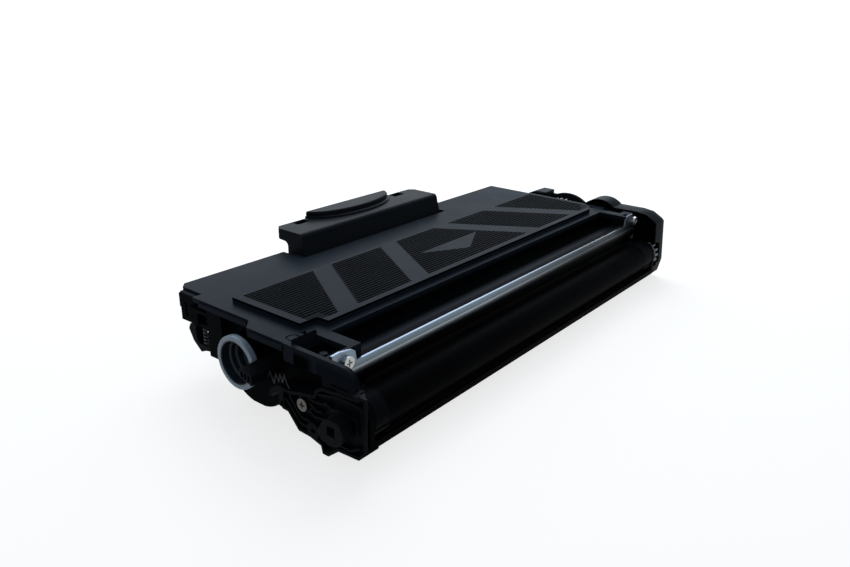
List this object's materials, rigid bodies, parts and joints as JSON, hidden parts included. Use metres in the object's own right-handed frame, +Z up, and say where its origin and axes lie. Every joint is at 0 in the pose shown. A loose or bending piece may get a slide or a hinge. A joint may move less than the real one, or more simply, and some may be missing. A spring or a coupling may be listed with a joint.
{
  "type": "toner cartridge",
  "caption": "Wide flat toner cartridge with an open developer roller, metering blade, ribbed grip lid, round toner hopper, rear handle and geared end.",
  "frame": {"origin": "middle of the flat strip under the round hopper, on which the cartridge stands", "axes": "+X along the rollers towards the gears, +Y to the handle at the rear, +Z up out of the lid"},
  "size_m": [0.288, 0.1407, 0.0555],
  "materials": {
    "contact": "satin, conductive grade",
    "dark": "satin",
    "felt": "pressed felt",
    "film": "thin film",
    "foam": "open foam",
    "gear": "natural acetal",
    "lid": "satin, fine grain",
    "plug": "translucent, natural",
    "roller": "smooth, half matt",
    "shaft": "ground",
    "shell": "satin, fine grain",
    "soft": "soft",
    "spring": "drawn wire",
    "steel": "zinc plated"
  },
  "bodies": {
    "casing": {"top_cover": "lid", "hopper_shell": "shell", "rear_handle": "lid", "fill_plug": "plug", "blade_bracket": "steel", "blade_leaf": "steel", "blade_tip": "soft", "blade_screws": "steel", "blade_seal": "soft", "developer_bush_left": "dark", "developer_bush_right": "dark", "end_seals": "felt", "lip_felts": "felt", "lip_film": "film", "supply_bushes": "dark", "agitator_bush": "dark", "agitator_seal": "felt", "gear_cover": "shell", "cover_screws": "steel", "left_end_cap": "dark", "cap_screw": "steel", "roller_contact_block": "contact", "slot_contact_block": "contact", "contact_spring": "spring", "latch_spring": "spring"},
    "developer": {"developer_shaft": "shaft", "developer_roller": "roller", "developer_gear": "gear"},
    "supply": {"supply_shaft": "shaft", "supply_roller": "foam", "supply_gear": "gear"},
    "agitator": {"agitator_shaft": "dark", "agitator_paddle": "film", "agitator_gear": "gear"},
    "idler": {"idler_gear": "gear"},
    "coupling": {"coupling_gear": "dark"},
    "lever": {"latch_lever": "dark"}
  },
  "joints": [
    {"name": "developer_spin", "type": "hinge", "parent": "casing", "child": "developer", "pos_m": [0, -0.06065, 0.0168], "axis": [1, 0, 0], "continuous": true},
    {"name": "supply_spin", "type": "hinge", "parent": "casing", "child": "supply", "pos_m": [0, -0.04549, 0.01358], "axis": [1, 0, 0], "continuous": true},
    {"name": "idler_spin", "type": "hinge", "parent": "casing", "child": "idler", "pos_m": [0, -0.04901, 0.02919], "axis": [1, 0, 0], "continuous": true},
    {"name": "coupling_spin", "type": "hinge", "parent": "casing", "child": "coupling", "pos_m": [0, -0.02866, 0.03168], "axis": [1, 0, 0], "continuous": true},
    {"name": "agitator_spin", "type": "hinge", "parent": "casing", "child": "agitator", "pos_m": [0, 0, 0.02125], "axis": [1, 0, 0], "continuous": true},
    {"name": "lever_tilt", "type": "hinge", "parent": "casing", "child": "lever", "pos_m": [-0.1236, 0.02555, 0.0185], "axis": [1, 0, 0], "range_deg": [0, 7], "stiffness_Nm_per_rad": 0.08, "springref_deg": -20.05, "deforming": ["latch_spring"]}
  ],
  "couplings": [
    {"joint": "supply_spin", "follows": "developer_spin", "ratio": 1.1429},
    {"joint": "idler_spin", "follows": "developer_spin", "ratio": -0.88889},
    {"joint": "coupling_spin", "follows": "developer_spin", "ratio": 0.69565},
    {"joint": "agitator_spin", "follows": "developer_spin", "ratio": -0.42105}
  ]
}
